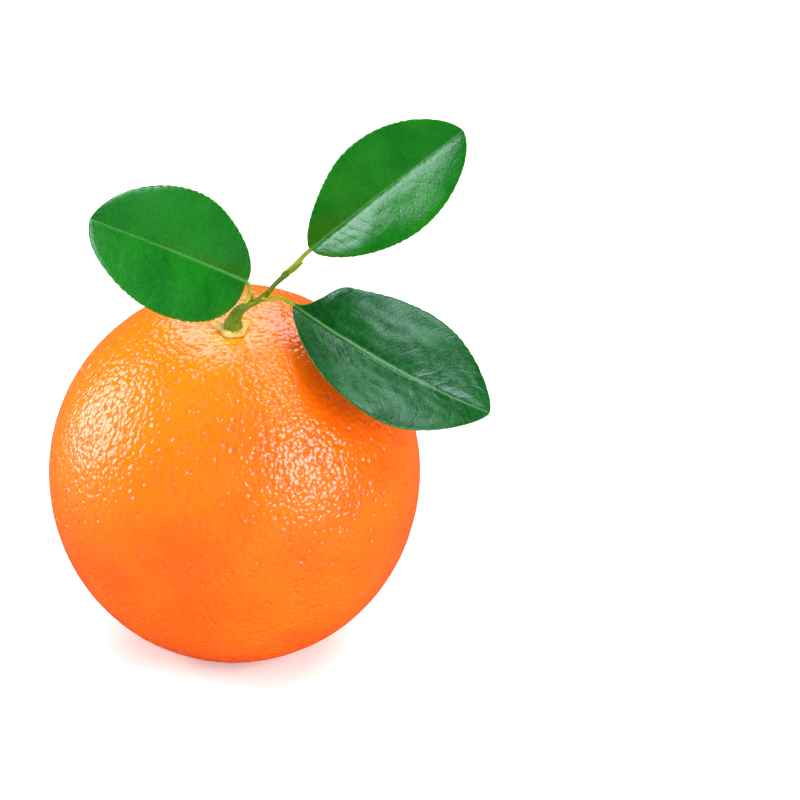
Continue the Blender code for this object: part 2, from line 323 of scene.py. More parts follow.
class Graph:
    """Builds a node tree by short calls: sockets or plain values go in, and a socket comes out."""

    def __init__(self, tree):
        self.tree = tree

    def feed(self, socket, value):
        if isinstance(value, bpy.types.NodeSocket):
            self.tree.links.new(value, socket)
        else:
            socket.default_value = value

    def add(self, kind, values=None, **settings):
        node = self.tree.nodes.new(kind)
        for key, value in settings.items():
            setattr(node, key, value)
        for key, value in (values or {}).items():
            self.feed(node.inputs[key], value)
        return node

    def math(self, operation, *values):
        node = self.add("ShaderNodeMath", operation=operation)
        for socket, value in zip(node.inputs, values):
            self.feed(socket, value)
        return node.outputs[0]

    def total(self, *values):
        result = values[0]
        for value in values[1:]:
            result = self.math("ADD", result, value)
        return result

    def product(self, *values):
        result = values[0]
        for value in values[1:]:
            result = self.math("MULTIPLY", result, value)
        return result

    def vector(self, operation, *values):
        node = self.add("ShaderNodeVectorMath", operation=operation)
        for socket, value in zip(node.inputs, values):
            self.feed(socket, value)
        return node.outputs["Value" if operation in ("DISTANCE", "LENGTH", "DOT_PRODUCT") else "Vector"]

    def scale(self, vector, factor):
        values = {"Vector": vector, "Scale": factor}
        return self.add("ShaderNodeVectorMath", values, operation="SCALE").outputs["Vector"]

    def split(self, vector):
        return self.add("ShaderNodeSeparateXYZ", {"Vector": vector}).outputs

    def join(self, x, y, z):
        return self.add("ShaderNodeCombineXYZ", {"X": x, "Y": y, "Z": z}).outputs[0]

    def bell(self, value, width):
        """1 where VALUE is 0, falling to 0 a few WIDTHs away."""
        share = self.math("DIVIDE", value, width)
        return self.math("EXPONENT", self.product(share, share, -1.0))

    def blend(self, value, low, high, start=0.0, end=1.0):
        """Smooth step of VALUE from START at LOW to END at HIGH."""
        node = self.add("ShaderNodeMapRange", interpolation_type="SMOOTHSTEP")
        for name, number in (
            ("Value", value),
            ("From Min", low),
            ("From Max", high),
            ("To Min", start),
            ("To Max", end),
        ):
            self.feed(node.inputs[name], number)
        return node.outputs["Result"]

    def noise(self, vector, scale, detail=2.0, roughness=0.5):
        values = {"Vector": vector, "Scale": scale, "Detail": detail, "Roughness": roughness}
        return self.add("ShaderNodeTexNoise", values).outputs[0]

    def cells(self, vector, scale, feature="F1", out="Distance", randomness=1.0):
        values = {"Vector": vector, "Scale": scale, "Randomness": randomness}
        return self.add("ShaderNodeTexVoronoi", values, feature=feature).outputs[out]

    def mix(self, factor, first, second):
        node = self.add("ShaderNodeMix", data_type="RGBA")
        self.feed(node.inputs[0], factor)
        self.feed(node.inputs[6], first)
        self.feed(node.inputs[7], second)
        return node.outputs[2]


def new_input(tree, name, kind, default):
    socket = tree.interface.new_socket(name=name, in_out="INPUT", socket_type="NodeSocket" + kind)
    if default is not None:
        socket.default_value = default
    return socket


def new_output(tree, name, kind):
    return tree.interface.new_socket(name=name, in_out="OUTPUT", socket_type="NodeSocket" + kind)


def input_keys(tree):
    """Socket identifiers of a tree's inputs by name, which a modifier's values are set by."""
    sockets = [item for item in tree.interface.items_tree if item.item_type == "SOCKET"]
    return {item.name: item.identifier for item in sockets if item.in_out == "INPUT"}


def grow(name, source, tree, values):
    """Plain mesh object NAME, made by running TREE with VALUES on the object SOURCE."""
    keys = input_keys(tree)
    modifier = source.modifiers.new("shape", "NODES")
    modifier.node_group = tree
    for key, value in values.items():
        modifier[keys[key]] = value
    bpy.context.view_layer.update()
    graph = bpy.context.evaluated_depsgraph_get()
    mesh = bpy.data.meshes.new_from_object(source.evaluated_get(graph))
    mesh.name = name
    bpy.data.objects.remove(source, do_unlink=True)
    mesh.shade_smooth()
    obj = bpy.data.objects.new(name, mesh)
    bpy.context.scene.collection.objects.link(obj)
    return obj


# ---------------------------------------------------------------- rind relief, shared by both


def pore_nodes(graph, place):
    """(pits, domes) of the rind at PLACE: 1 in the middle of a pit, 0 on top of a small dome."""
    pits = graph.cells(place, 1.0 / PORE_SPACING, randomness=0.85)
    domes = graph.cells(place, 1.0 / DOME_SPACING, randomness=0.9)
    return graph.blend(pits, 0.06, 0.34, 1.0, 0.0), graph.product(domes, domes)


def rind_tree():
    tree = bpy.data.node_groups.new("rind_shape", "GeometryNodeTree")
    new_input(tree, "Cells", "Int", 32)
    new_input(tree, "Half Width", "Float", 0.04)
    new_input(tree, "Half Height", "Float", 0.04)
    new_input(tree, "Cavity Depth", "Float", 0.002)
    new_input(tree, "Cavity Spread", "Float", 0.008)
    new_input(tree, "Crease Depth", "Float", 0.0003)
    new_input(tree, "Lump Height", "Float", 0.0003)
    new_input(tree, "Pore Depth", "Float", 0.0001)
    new_input(tree, "Lean", "Vector", None)
    new_input(tree, "Centre", "Vector", None)
    new_input(tree, "Material", "Material", None)
    new_output(tree, "Geometry", "Geometry")
    graph = Graph(tree)
    given = graph.add("NodeGroupInput").outputs
    cube = graph.add("GeometryNodeMeshCube", {"Size": (2.0, 2.0, 2.0)})
    for side in ("X", "Y", "Z"):
        graph.feed(cube.inputs["Vertices " + side], given["Cells"])
    corner = graph.split(graph.add("GeometryNodeInputPosition").outputs[0])
    even = [graph.math("TANGENT", graph.math("MULTIPLY", axis, 0.25 * math.pi)) for axis in corner]
    outward = graph.vector("NORMALIZE", graph.join(*even))
    x, y, z = graph.split(outward)
    across = graph.math("SQRT", graph.math("MAXIMUM", graph.math("SUBTRACT", 1.0, graph.product(z, z)), 1e-8))
    wide = graph.math("DIVIDE", across, given["Half Width"])
    tall = graph.math("DIVIDE", z, given["Half Height"])
    span = graph.math("SQRT", graph.total(graph.product(wide, wide), graph.product(tall, tall)))
    plain = graph.math("DIVIDE", 1.0, span)
    ring = graph.product(plain, across)
    upper = graph.math("MAXIMUM", z, 0.0)
    cavity = graph.product(graph.bell(ring, given["Cavity Spread"]), given["Cavity Depth"])
    spoke = graph.join(
        graph.math("DIVIDE", x, across), graph.math("DIVIDE", y, across), graph.product(ring, 60.0)
    )
    streak = graph.math("SUBTRACT", graph.noise(spoke, 2.6, 3.0, 0.6), 0.5)
    reach = graph.math("DIVIDE", ring, CREASE_REACH)
    falling = graph.math("SUBTRACT", 1.0, graph.product(reach, reach))
    fade = graph.product(reach, graph.math("EXPONENT", falling))
    crease = graph.product(streak, fade, given["Crease Depth"], 3.0)
    lump = graph.math("SUBTRACT", graph.noise(outward, 1.7, 1.0), 0.5)
    scar = graph.product(graph.bell(ring, SCAR_RADIUS), graph.blend(z, -0.9, -0.95, 0.0, SCAR_DEPTH))
    radius = graph.total(
        plain,
        graph.product(upper, graph.total(cavity, crease), -1.0),
        graph.product(lump, given["Lump Height"], 2.0),
        graph.product(scar, -1.0),
    )
    lean = {"Rotation": given["Lean"]}
    turned = graph.add("ShaderNodeVectorRotate", {"Vector": outward, **lean}, rotation_type="EULER_XYZ")
    heading = turned.outputs[0]
    place = graph.vector("ADD", graph.scale(heading, radius), given["Centre"])
    pits, domes = pore_nodes(graph, place)
    swell = graph.math("SUBTRACT", graph.noise(place, 1.0 / SWELL_SPACING, 1.0), 0.5)
    relief = graph.total(
        graph.product(pits, given["Pore Depth"], -1.0),
        graph.product(domes, given["Pore Depth"], -0.5),
        graph.product(swell, given["Pore Depth"], 0.9),
    )
    placed = graph.split(graph.vector("ADD", place, graph.scale(heading, relief)))
    standing = graph.join(placed[0], placed[1], graph.math("MAXIMUM", placed[2], 0.0))
    moved = graph.add("GeometryNodeSetPosition", {"Geometry": cube.outputs["Mesh"], "Position": standing})
    finish_tree(graph, moved.outputs[0], given["Material"])
    return tree


def finish_tree(graph, geometry, material):
    """Ends a tree as plain geometry with its material."""
    real = graph.add("GeometryNodeRealizeInstances", {"Geometry": geometry})
    dressed = graph.add("GeometryNodeSetMaterial", {"Geometry": real.outputs[0], "Material": material})
    graph.add("NodeGroupOutput", {"Geometry": dressed.outputs[0]})


def empty_mesh_object(name):
    obj = bpy.data.objects.new(name, bpy.data.meshes.new(name))
    bpy.context.scene.collection.objects.link(obj)
    return obj


def make_fruit(material):
    values = {
        "Cells": RIND_CELLS + 1,
        "Half Width": HALF_WIDTH,
        "Half Height": HALF_HEIGHT,
        "Cavity Depth": CAVITY_DEPTH,
        "Cavity Spread": CAVITY_SPREAD,
        "Crease Depth": CREASE_DEPTH,
        "Lump Height": LUMP_HEIGHT,
        "Pore Depth": PORE_DEPTH,
        "Lean": tuple(FRUIT_TURN.to_euler("XYZ")),
        "Centre": tuple(FRUIT_CENTRE),
        "Material": material,
    }
    return grow("rind", empty_mesh_object("rind_seed"), rind_tree(), values)


# ---------------------------------------------------------------- stalk, twig and leaf stalks


def stem_tree():
    """Sweeps a ribbed round profile along a curve, with the curve's own radius."""
    tree = bpy.data.node_groups.new("stem_shape", "GeometryNodeTree")
    new_input(tree, "Geometry", "Geometry", None)
    new_input(tree, "Sides", "Int", 32)
    new_input(tree, "Ribs", "Float", 6.0)
    new_input(tree, "Rib Height", "Float", 0.00005)
    new_input(tree, "Roughness", "Float", 0.00004)
    new_input(tree, "Grain Size", "Float", 0.0008)
    new_input(tree, "Material", "Material", None)
    new_output(tree, "Geometry", "Geometry")
    graph = Graph(tree)
    given = graph.add("NodeGroupInput").outputs
    parameter = graph.add("GeometryNodeSplineParameter").outputs["Factor"]
    line = graph.add(
        "GeometryNodeStoreNamedAttribute",
        {"Geometry": given["Geometry"], "Name": "along", "Value": parameter},
        data_type="FLOAT",
    )
    circle = graph.add("GeometryNodeCurvePrimitiveCircle", {"Resolution": given["Sides"], "Radius": 1.0})
    profile = graph.add(
        "GeometryNodeStoreNamedAttribute",
        {"Geometry": circle.outputs[0], "Name": "around", "Value": parameter},
        data_type="FLOAT",
    )
    sweep = graph.add(
        "GeometryNodeCurveToMesh",
        {"Curve": line.outputs[0], "Profile Curve": profile.outputs[0], "Fill Caps": True},
    )
    if "Scale" in sweep.inputs:
        graph.feed(sweep.inputs["Scale"], graph.add("GeometryNodeInputRadius").outputs[0])
    around = graph.add("GeometryNodeInputNamedAttribute", {"Name": "around"}, data_type="FLOAT").outputs[0]
    along = graph.add("GeometryNodeInputNamedAttribute", {"Name": "along"}, data_type="FLOAT").outputs[0]
    place = graph.add("GeometryNodeInputPosition").outputs[0]
    drift = graph.math("SUBTRACT", graph.noise(place, 500.0), 0.5)
    angle = graph.total(graph.product(around, given["Ribs"], 2.0 * math.pi), graph.product(drift, 2.5))
    rib = graph.product(graph.math("SINE", angle), given["Rib Height"])
    fineness = graph.math("DIVIDE", 1.0, given["Grain Size"])
    grain = graph.math("SUBTRACT", graph.noise(place, fineness, 3.0), 0.5)
    rough = graph.product(grain, given["Roughness"], 2.0)
    ends = graph.product(graph.blend(along, 0.0, 0.05), graph.blend(along, 0.95, 1.0, 1.0, 0.0))
    push = graph.scale(
        graph.add("GeometryNodeInputNormal").outputs[0], graph.product(graph.total(rib, rough), ends)
    )
    moved = graph.add("GeometryNodeSetPosition", {"Geometry": sweep.outputs[0], "Offset": push})
    finish_tree(graph, moved.outputs[0], given["Material"])
    return tree


def smooth_route(route, steps):
    """(point, radius) pairs on a smooth curve through ROUTE, with rounded ends."""
    points = [STEM_SEAT + Vector(stop[:3]) * MM for stop in route]
    radii = [stop[3] * MM for stop in route]
    ends = [2.0 * points[0] - points[1], *points, 2.0 * points[-1] - points[-2]]
    smooth = []
    for index in range(len(points) - 1):
        before, start, end, after = ends[index : index + 4]
        for step in range(steps):
            t = step / steps
            bend = 2.0 * before - 5.0 * start + 4.0 * end - after
            twist = 3.0 * (start - end) + after - before
            point = 0.5 * (2.0 * start + (end - before) * t + bend * t * t + twist * t**3)
            ease = t * t * (3.0 - 2.0 * t)
            smooth.append((point, radii[index] + (radii[index + 1] - radii[index]) * ease))
    smooth.append((points[-1], radii[-1]))
    return rounded_end(rounded_end(smooth)[::-1])[::-1]


def rounded_end(smooth):
    """Adds a dome beyond the last point of a route."""
    point, radius = smooth[-1]
    heading = (point - smooth[-2][0]).normalized()
    turns = [math.radians(angle) for angle in (25.0, 50.0, 70.0, 83.0)]
    dome = [(point + heading * radius * 0.6 * math.sin(a), radius * math.cos(a)) for a in turns]
    return smooth + dome


def route_curve(name, smooth):
    curve = bpy.data.curves.new(name, "CURVE")
    curve.dimensions = "3D"
    spline = curve.splines.new("POLY")
    spline.points.add(len(smooth) - 1)
    for spot, (point, radius) in zip(spline.points, smooth):
        spot.co = (*point, 1.0)
        spot.radius = radius
    obj = bpy.data.objects.new(name, curve)
    bpy.context.scene.collection.objects.link(obj)
    return obj


def make_stem(name, route, tree, material, ribs):
    count, height, grain = ribs
    values = {
        "Sides": STEM_SIDES,
        "Ribs": count,
        "Rib Height": height,
        "Roughness": grain,
        "Grain Size": STEM_GRAIN,
        "Material": material,
    }
    return grow(name, route_curve(name + "_line", smooth_route(route, STEM_STEPS)), tree, values)


# ---------------------------------------------------------------- calyx and buds


def close_up(name, shape, material):
    """Object from a bmesh, its normals turned outwards."""
    bmesh.ops.remove_doubles(shape, verts=shape.verts, dist=1e-7)
    bmesh.ops.recalc_face_normals(shape, faces=shape.faces)
    mesh = bpy.data.meshes.new(name)
    shape.to_mesh(mesh)
    shape.free()
    mesh.materials.append(material)
    mesh.shade_smooth()
    obj = bpy.data.objects.new(name, mesh)
    bpy.context.scene.collection.objects.link(obj)
    return obj


def angle_between(first, second):
    return abs((first - second + math.pi) % (2.0 * math.pi) - math.pi)


def sepal_reach(turn):
    """(radius, lift, nearness to a sepal's middle) of the calyx's rim at the angle TURN."""
    radius, lift, near = CALYX_RADIUS, 0.0, 0.0
    for middle, length, rise in SEPALS:
        share = max(0.0, 1.0 - angle_between(turn, middle) / SEPAL_HALF_ANGLE)
        point = share**1.5
        radius = max(radius, CALYX_RADIUS + (length * MM - CALYX_RADIUS) * point)
        lift = max(lift, rise * MM * point)
        near = max(near, share)
    return radius, lift, near


def calyx_point(turn, share, side):
    """Point of the calyx at TURN, SHARE 0 at its middle to 1 at its rim, on the upper or lower SIDE."""
    radius, lift, near = sepal_reach(turn)
    ring = share * radius
    drop = ring * ring * HALF_HEIGHT / (2.0 * HALF_WIDTH**2)
    rise = CAVITY_DEPTH * (1.0 - math.exp(-((ring / CAVITY_SPREAD) ** 2))) - drop
    round_rim = math.sqrt(max(0.0, 1.0 - share**6))
    wave = math.sin(17.0 * turn + 3.0 * math.sin(2.0 * turn))
    wrinkle = WRINKLE_HEIGHT * wave * share * (1.0 - share) * 4.0
    keel = KEEL_HEIGHT * near**3 * share
    swell = CALYX_THICKNESS * (1.0 - 0.55 * share)
    height = rise + CALYX_LIFT + lift * max(0.0, (share - 0.45) / 0.55) ** 1.6
    if side > 0.0:
        height += (0.35 * CALYX_THICKNESS + 0.65 * swell * round_rim) * round_rim + wrinkle + keel
    else:
        height -= 0.25 * CALYX_THICKNESS * round_rim
    flat = Vector((ring * math.cos(turn), ring * math.sin(turn), height))
    return STEM_SEAT + FRUIT_TURN @ flat


def make_calyx(material):
    shape = bmesh.new()
    for side in (1.0, -1.0):
        rows = []
        for ring in range(CALYX_RINGS + 1):
            share = math.sin(0.5 * math.pi * ring / CALYX_RINGS)
            turns = [2.0 * math.pi * step / CALYX_SEGMENTS for step in range(CALYX_SEGMENTS)]
            rows.append([shape.verts.new(calyx_point(turn, share, side)) for turn in turns])
        for inner, outer in zip(rows, rows[1:]):
            for step in range(CALYX_SEGMENTS):
                after = (step + 1) % CALYX_SEGMENTS
                shape.faces.new((inner[step], inner[after], outer[after], outer[step]))
    return close_up("calyx_cap", shape, material)


def make_bud(name, material):
    """A drop-shaped bud wrapped in a few pointed scales."""
    base, tip, radius = BUDS[name]
    base = STEM_SEAT + Vector(base) * MM
    axis = STEM_SEAT + Vector(tip) * MM - base
    turn_to = axis.to_track_quat("Z", "Y").to_matrix()
    shape = bmesh.new()
    bmesh.ops.create_uvsphere(shape, u_segments=BUD_SEGMENTS, v_segments=BUD_RINGS, radius=1.0)
    for vert in shape.verts:
        along = 0.5 * (1.0 + vert.co.z)
        turn = math.atan2(vert.co.y, vert.co.x)
        scale_edge = (along * 3.0 + 0.35 * math.cos(2.0 * turn + 2.0 * math.floor(along * 3.0))) % 1.0
        narrowing = (1.0 - 0.5 * along) * (1.0 - 0.13 * scale_edge)
        flat = Vector((vert.co.x * narrowing, vert.co.y * narrowing, 0.0)) * radius * MM
        vert.co = base + turn_to @ (flat + Vector((0.0, 0.0, along * axis.length)))
    return close_up(name + "_scales", shape, material)


# ---------------------------------------------------------------- leaves


def half_width(half, along, shoulder):
    """Width in millimetres of one half of a blade, ALONG 0 at its joint to 1 at its tip."""
    width, fullness, skew = half
    outline = np.sin(np.pi * along**skew).clip(0.0) ** fullness
    if shoulder > 0.0:
        share = (along / shoulder).clip(0.0, 1.0)
        outline = outline * share * share * (3.0 - 2.0 * share)
    return width * outline + LEAF_BASE_WIDTH + (LEAF_TIP_WIDTH - LEAF_BASE_WIDTH) * along


def wander(along, across, seed, size):
    """Slow random swell over a blade, -1 to 1."""
    spots = zip(along.ravel(), across.ravel())
    values = [noise.noise(Vector((a * size, b * size * 0.5, seed))) for a, b in spots]
    return np.array(values).reshape(along.shape)


def unit(vector):
    return np.array(Vector(vector).normalized())


def blade_frame(leaf):
    """(joint, heading, length, facing, sideways) of a blade, in millimetres from the stem seat."""
    joint = np.array(leaf["joint"])
    chord = np.array(leaf["tip"]) - joint
    length = np.linalg.norm(chord)
    heading = chord / length
    facing = np.array(leaf["facing"])
    facing = unit(facing - heading * facing.dot(heading))
    return joint, heading, length, facing, np.cross(facing, heading)


def blade_middle(leaf, along, across):
    """(points, widths) of a blade's middle surface, ACROSS -1 to 1 over its width."""
    joint, heading, length, facing, sideways = blade_frame(leaf)
    bow = 4.0 * along * (1.0 - along)
    start = joint + heading * JOINT_SETBACK
    points = start + along[..., None] * heading * (length - JOINT_SETBACK)
    points = points + bow[..., None] * (facing * leaf["arch"] + sideways * leaf["sweep"])
    plus = half_width(leaf["halves"][0], along, leaf["shoulder"])
    minus = half_width(leaf["halves"][1], along, 0.0)
    width = np.where(across >= 0.0, plus, minus)
    out = np.abs(across)
    jitter = wander(along, np.sign(across), leaf["seed"] + 3.0, 9.0)
    notches = along * length / SCALLOP_LENGTH + leaf["seed"] + jitter
    scallop = (np.abs(np.sin(np.pi * notches)) - 0.6) * (0.75 + 0.6 * jitter)
    width = width + SCALLOP_DEPTH * scallop * out**6 * (2.0 * bow).clip(0.0, 1.0)
    fold = math.radians(leaf["fold"])
    lift = (out * (1.0 + LEAF_ROUNDING) - LEAF_ROUNDING * out * out) * width * math.sin(fold)
    wave = np.sin(2.0 * np.pi * (1.8 * along + 0.25 * np.sign(across)) + leaf["seed"])
    lift = lift + leaf["wave"] * wave * out**2
    lift = lift + leaf["curl"] * out**2 * np.exp(-(((along - 0.12) / 0.09) ** 2)) * (across > 0.0)
    lift = lift + BUCKLE * wander(along, across, leaf["seed"], 4.0) * bow
    lift = lift + leaf["ripple"] * wander(along, across, leaf["seed"] + 7.0, 12.0) * bow
    near_rib = np.exp(-(((out - 0.3) / 0.2) ** 2) - ((along - 0.27) / 0.16) ** 2) * (across < 0.0)
    lift = lift + 0.45 * leaf["ripple"] * near_rib * np.sin(2.0 * np.pi * vein_phase(leaf, along, across))
    points = points + sideways * (across * width * math.cos(fold))[..., None] + facing * lift[..., None]
    return points, width


def vein_phase(leaf, along, across):
    """Runs through a whole number at each side vein; the veins of the two halves alternate."""
    slant = VEIN_SLANT * np.abs(across) ** 1.2
    drift = 0.9 * wander(along, across + 3.0 * np.sign(across), leaf["seed"] + 5.0, 5.0)
    return VEINS * (along - slant) + drift + np.where(across >= 0.0, 0.0, 0.5)


def blade_relief(along, across, width, phase, side):
    """Height in millimetres of the upper (1) or lower (-1) face over the blade's middle."""
    out = np.abs(across * width)
    taper = 1.0 - 0.75 * along
    body = np.sqrt((1.0 - across**10).clip(0.0)) * np.sqrt((1.0 - (2.0 * along - 1.0) ** 30).clip(0.0))
    half = 0.5 * LEAF_THICKNESS * body
    fade = (1.0 - np.abs(across)) ** 0.5 * 4.0 * along * (1.0 - along)
    veins = np.exp(-((phase - np.round(phase)) ** 2) * 60.0) * fade
    quilt = np.cos(2.0 * np.pi * phase) * fade
    if side > 0:
        rib = UPPER_RIB * taper * np.exp(-((out / (0.16 + 0.2 * taper)) ** 2))
        groove = UPPER_GROOVE * taper * np.exp(-(((out - 0.8) / 0.45) ** 2))
        return half + rib - groove - UPPER_VEIN * veins - UPPER_QUILT * quilt
    rib = LOWER_RIB * taper * np.exp(-((out / (0.45 + 0.35 * taper)) ** 2)) * body
    return -half - rib - LOWER_VEIN * veins - LOWER_QUILT * quilt


def make_leaf(side, material):
    leaf = LEAVES[side]
    rows = 0.5 * (1.0 - np.cos(np.pi * np.linspace(0.0, 1.0, LEAF_ROWS + 1)))
    line = np.linspace(-1.0, 1.0, LEAF_COLUMNS + 1)
    columns = np.sign(line) * np.abs(line) ** 1.35
    along, across = np.meshgrid(rows, columns, indexing="ij")
    middle, width = blade_middle(leaf, along, across)
    down = np.gradient(middle, axis=0)
    over = np.gradient(middle, axis=1)
    normal = np.cross(over, down)
    normal = normal / np.linalg.norm(normal, axis=2, keepdims=True).clip(1e-12)
    facing = blade_frame(leaf)[3]
    normal = np.where((normal @ facing)[..., None] < 0.0, -normal, normal)
    inside = np.ones(along.shape, bool)
    inside[[0, -1], :] = False
    inside[:, [0, -1]] = False
    phase = vein_phase(leaf, along, across)
    top = middle + normal * (blade_relief(along, across, width, phase, 1) * inside)[..., None]
    under = middle + normal * (blade_relief(along, across, width, phase, -1) * inside)[..., None]
    count = along.size
    index = np.arange(count).reshape(along.shape)
    below = index.copy()
    below[inside] = count + np.arange(int(inside.sum()))
    points = np.concatenate([top.reshape(-1, 3), under[inside]]) * MM + np.array(STEM_SEAT)
    quads = []
    for grid, flip in ((index, False), (below, True)):
        quad = np.stack([grid[:-1, :-1], grid[:-1, 1:], grid[1:, 1:], grid[1:, :-1]], axis=-1).reshape(-1, 4)
        quads.append(quad[:, ::-1] if flip else quad)
    mesh = bpy.data.meshes.new("blade_" + side)
    mesh.from_pydata(points.tolist(), [], np.concatenate(quads).tolist())
    mesh.materials.append(material)
    edge = (1.0 - np.abs(across)) * width
    shared = {
        "along": along,
        "phase": phase,
        "out": across * width,
        "edge": edge,
        "tone": np.full(along.shape, leaf["tone"]),
    }
    for name, values in shared.items():
        store_values(mesh, name, np.concatenate([values.ravel(), values[inside]]))
    underside = np.concatenate([np.where(inside, 0.0, 0.5).ravel(), np.ones(int(inside.sum()))])
    store_values(mesh, "under", underside)
    shape = bmesh.new()
    shape.from_mesh(mesh)
    bmesh.ops.recalc_face_normals(shape, faces=shape.faces)
    shape.to_mesh(mesh)
    shape.free()
    mesh.shade_smooth()
    obj = bpy.data.objects.new("blade_" + side, mesh)
    bpy.context.scene.collection.objects.link(obj)
    return obj


def store_values(mesh, name, values):
    attribute = mesh.attributes.new(name, "FLOAT", "POINT")
    attribute.data.foreach_set("value", values.astype(np.float32))


# ---------------------------------------------------------------- materials


def start_material(name):
    material = bpy.data.materials.new(name)
    material.use_nodes = True
    graph = Graph(material.node_tree)
    shader = material.node_tree.nodes["Principled BSDF"]
    return material, graph, shader


def bump(graph, shader, height):
    """HEIGHT is in metres."""
    node = graph.add("ShaderNodeBump", {"Height": height, "Strength": 1.0, "Distance": 1.0})
    graph.feed(shader.inputs["Normal"], node.outputs[0])


def mottle_group():
    """Soft and fine blotches, 0 to 1, used by every plant surface."""
    tree = bpy.data.node_groups.new("mottle", "ShaderNodeTree")
    new_input(tree, "Place", "Vector", None)
    new_input(tree, "Size", "Float", 0.01)
    new_output(tree, "Blotches", "Float")
    new_output(tree, "Specks", "Float")
    graph = Graph(tree)
    given = graph.add("NodeGroupInput").outputs
    scale = graph.math("DIVIDE", 1.0, given["Size"])
    soft = graph.noise(given["Place"], scale, 3.0)
    fine = graph.noise(given["Place"], graph.product(scale, 9.0))
    graph.add(
        "NodeGroupOutput",
        {"Blotches": graph.blend(soft, 0.3, 0.7), "Specks": graph.blend(fine, 0.35, 0.65)},
    )
    return tree


def mottle(graph, group, place, size):
    node = graph.add("ShaderNodeGroup", node_tree=group)
    for name, value in (("Place", place), ("Size", size)):
        graph.feed(node.inputs[name], value)
    return node.outputs["Blotches"], node.outputs["Specks"]


def object_place(graph):
    return graph.add("ShaderNodeTexCoord").outputs["Object"]


def stored(graph, name):
    return graph.add("ShaderNodeAttribute", attribute_name=name).outputs["Fac"]


def rind_material(group):
    material, graph, shader = start_material("orange_rind")
    place = object_place(graph)
    pits, domes = pore_nodes(graph, place)
    blotches, specks = mottle(graph, group, place, 14.0 * MM)
    skin = graph.mix(blotches, RIND_DEEP, RIND_BRIGHT)
    outward = graph.vector("SUBTRACT", place, tuple(FRUIT_CENTRE))
    # Painted light: the side facing up and left, towards the lamps, is painted yellower and lighter.
    toward_painted_light = graph.vector("DOT_PRODUCT", outward, PAINTED_LIGHT_SIDE)
    painted_light_share = graph.blend(toward_painted_light, 0.12 * HALF_HEIGHT, 0.95 * HALF_HEIGHT)
    skin = graph.mix(graph.product(painted_light_share, 0.8), skin, RIND_PAINTED_LIGHT)
    # Painted shade in the pits and in the hollows between the small domes.
    skin = graph.mix(graph.product(pits, 0.35), skin, RIND_PIT_SHADE)
    skin = graph.mix(graph.product(domes, 0.2), skin, RIND_HOLLOW_SHADE)
    from_stem = graph.vector("DISTANCE", place, tuple(STEM_SEAT))
    ring = graph.bell(from_stem, 5.0 * MM)
    skin = graph.mix(graph.product(ring, 0.75), skin, RIND_BY_STEM)
    blossom = FRUIT_CENTRE - STEM_AXIS * HALF_HEIGHT
    scar = graph.bell(graph.vector("DISTANCE", place, tuple(blossom)), 1.6 * MM)
    skin = graph.mix(scar, skin, RIND_SCAR)
    graph.feed(shader.inputs["Base Color"], skin)
    rough = graph.total(0.15, graph.product(pits, 0.12), graph.product(specks, 0.05))
    graph.feed(shader.inputs["Roughness"], rough)
    grain = graph.noise(place, 1.0 / GRAIN_SPACING, 1.0)
    relief = graph.total(
        graph.product(pits, -PIT_DEPTH),
        graph.product(domes, -DOME_HEIGHT),
        graph.product(grain, GRAIN_HEIGHT),
    )
    bump(graph, shader, relief)
    shader.inputs["Specular IOR Level"].default_value = 0.55
    shader.inputs["Specular Tint"].default_value = (1.0, 0.86, 0.95, 1.0)
    shader.inputs["Subsurface Weight"].default_value = 0.12
    shader.inputs["Subsurface Radius"].default_value = (1.0, 0.35, 0.05)
    shader.inputs["Subsurface Scale"].default_value = 3.0 * MM
    return material


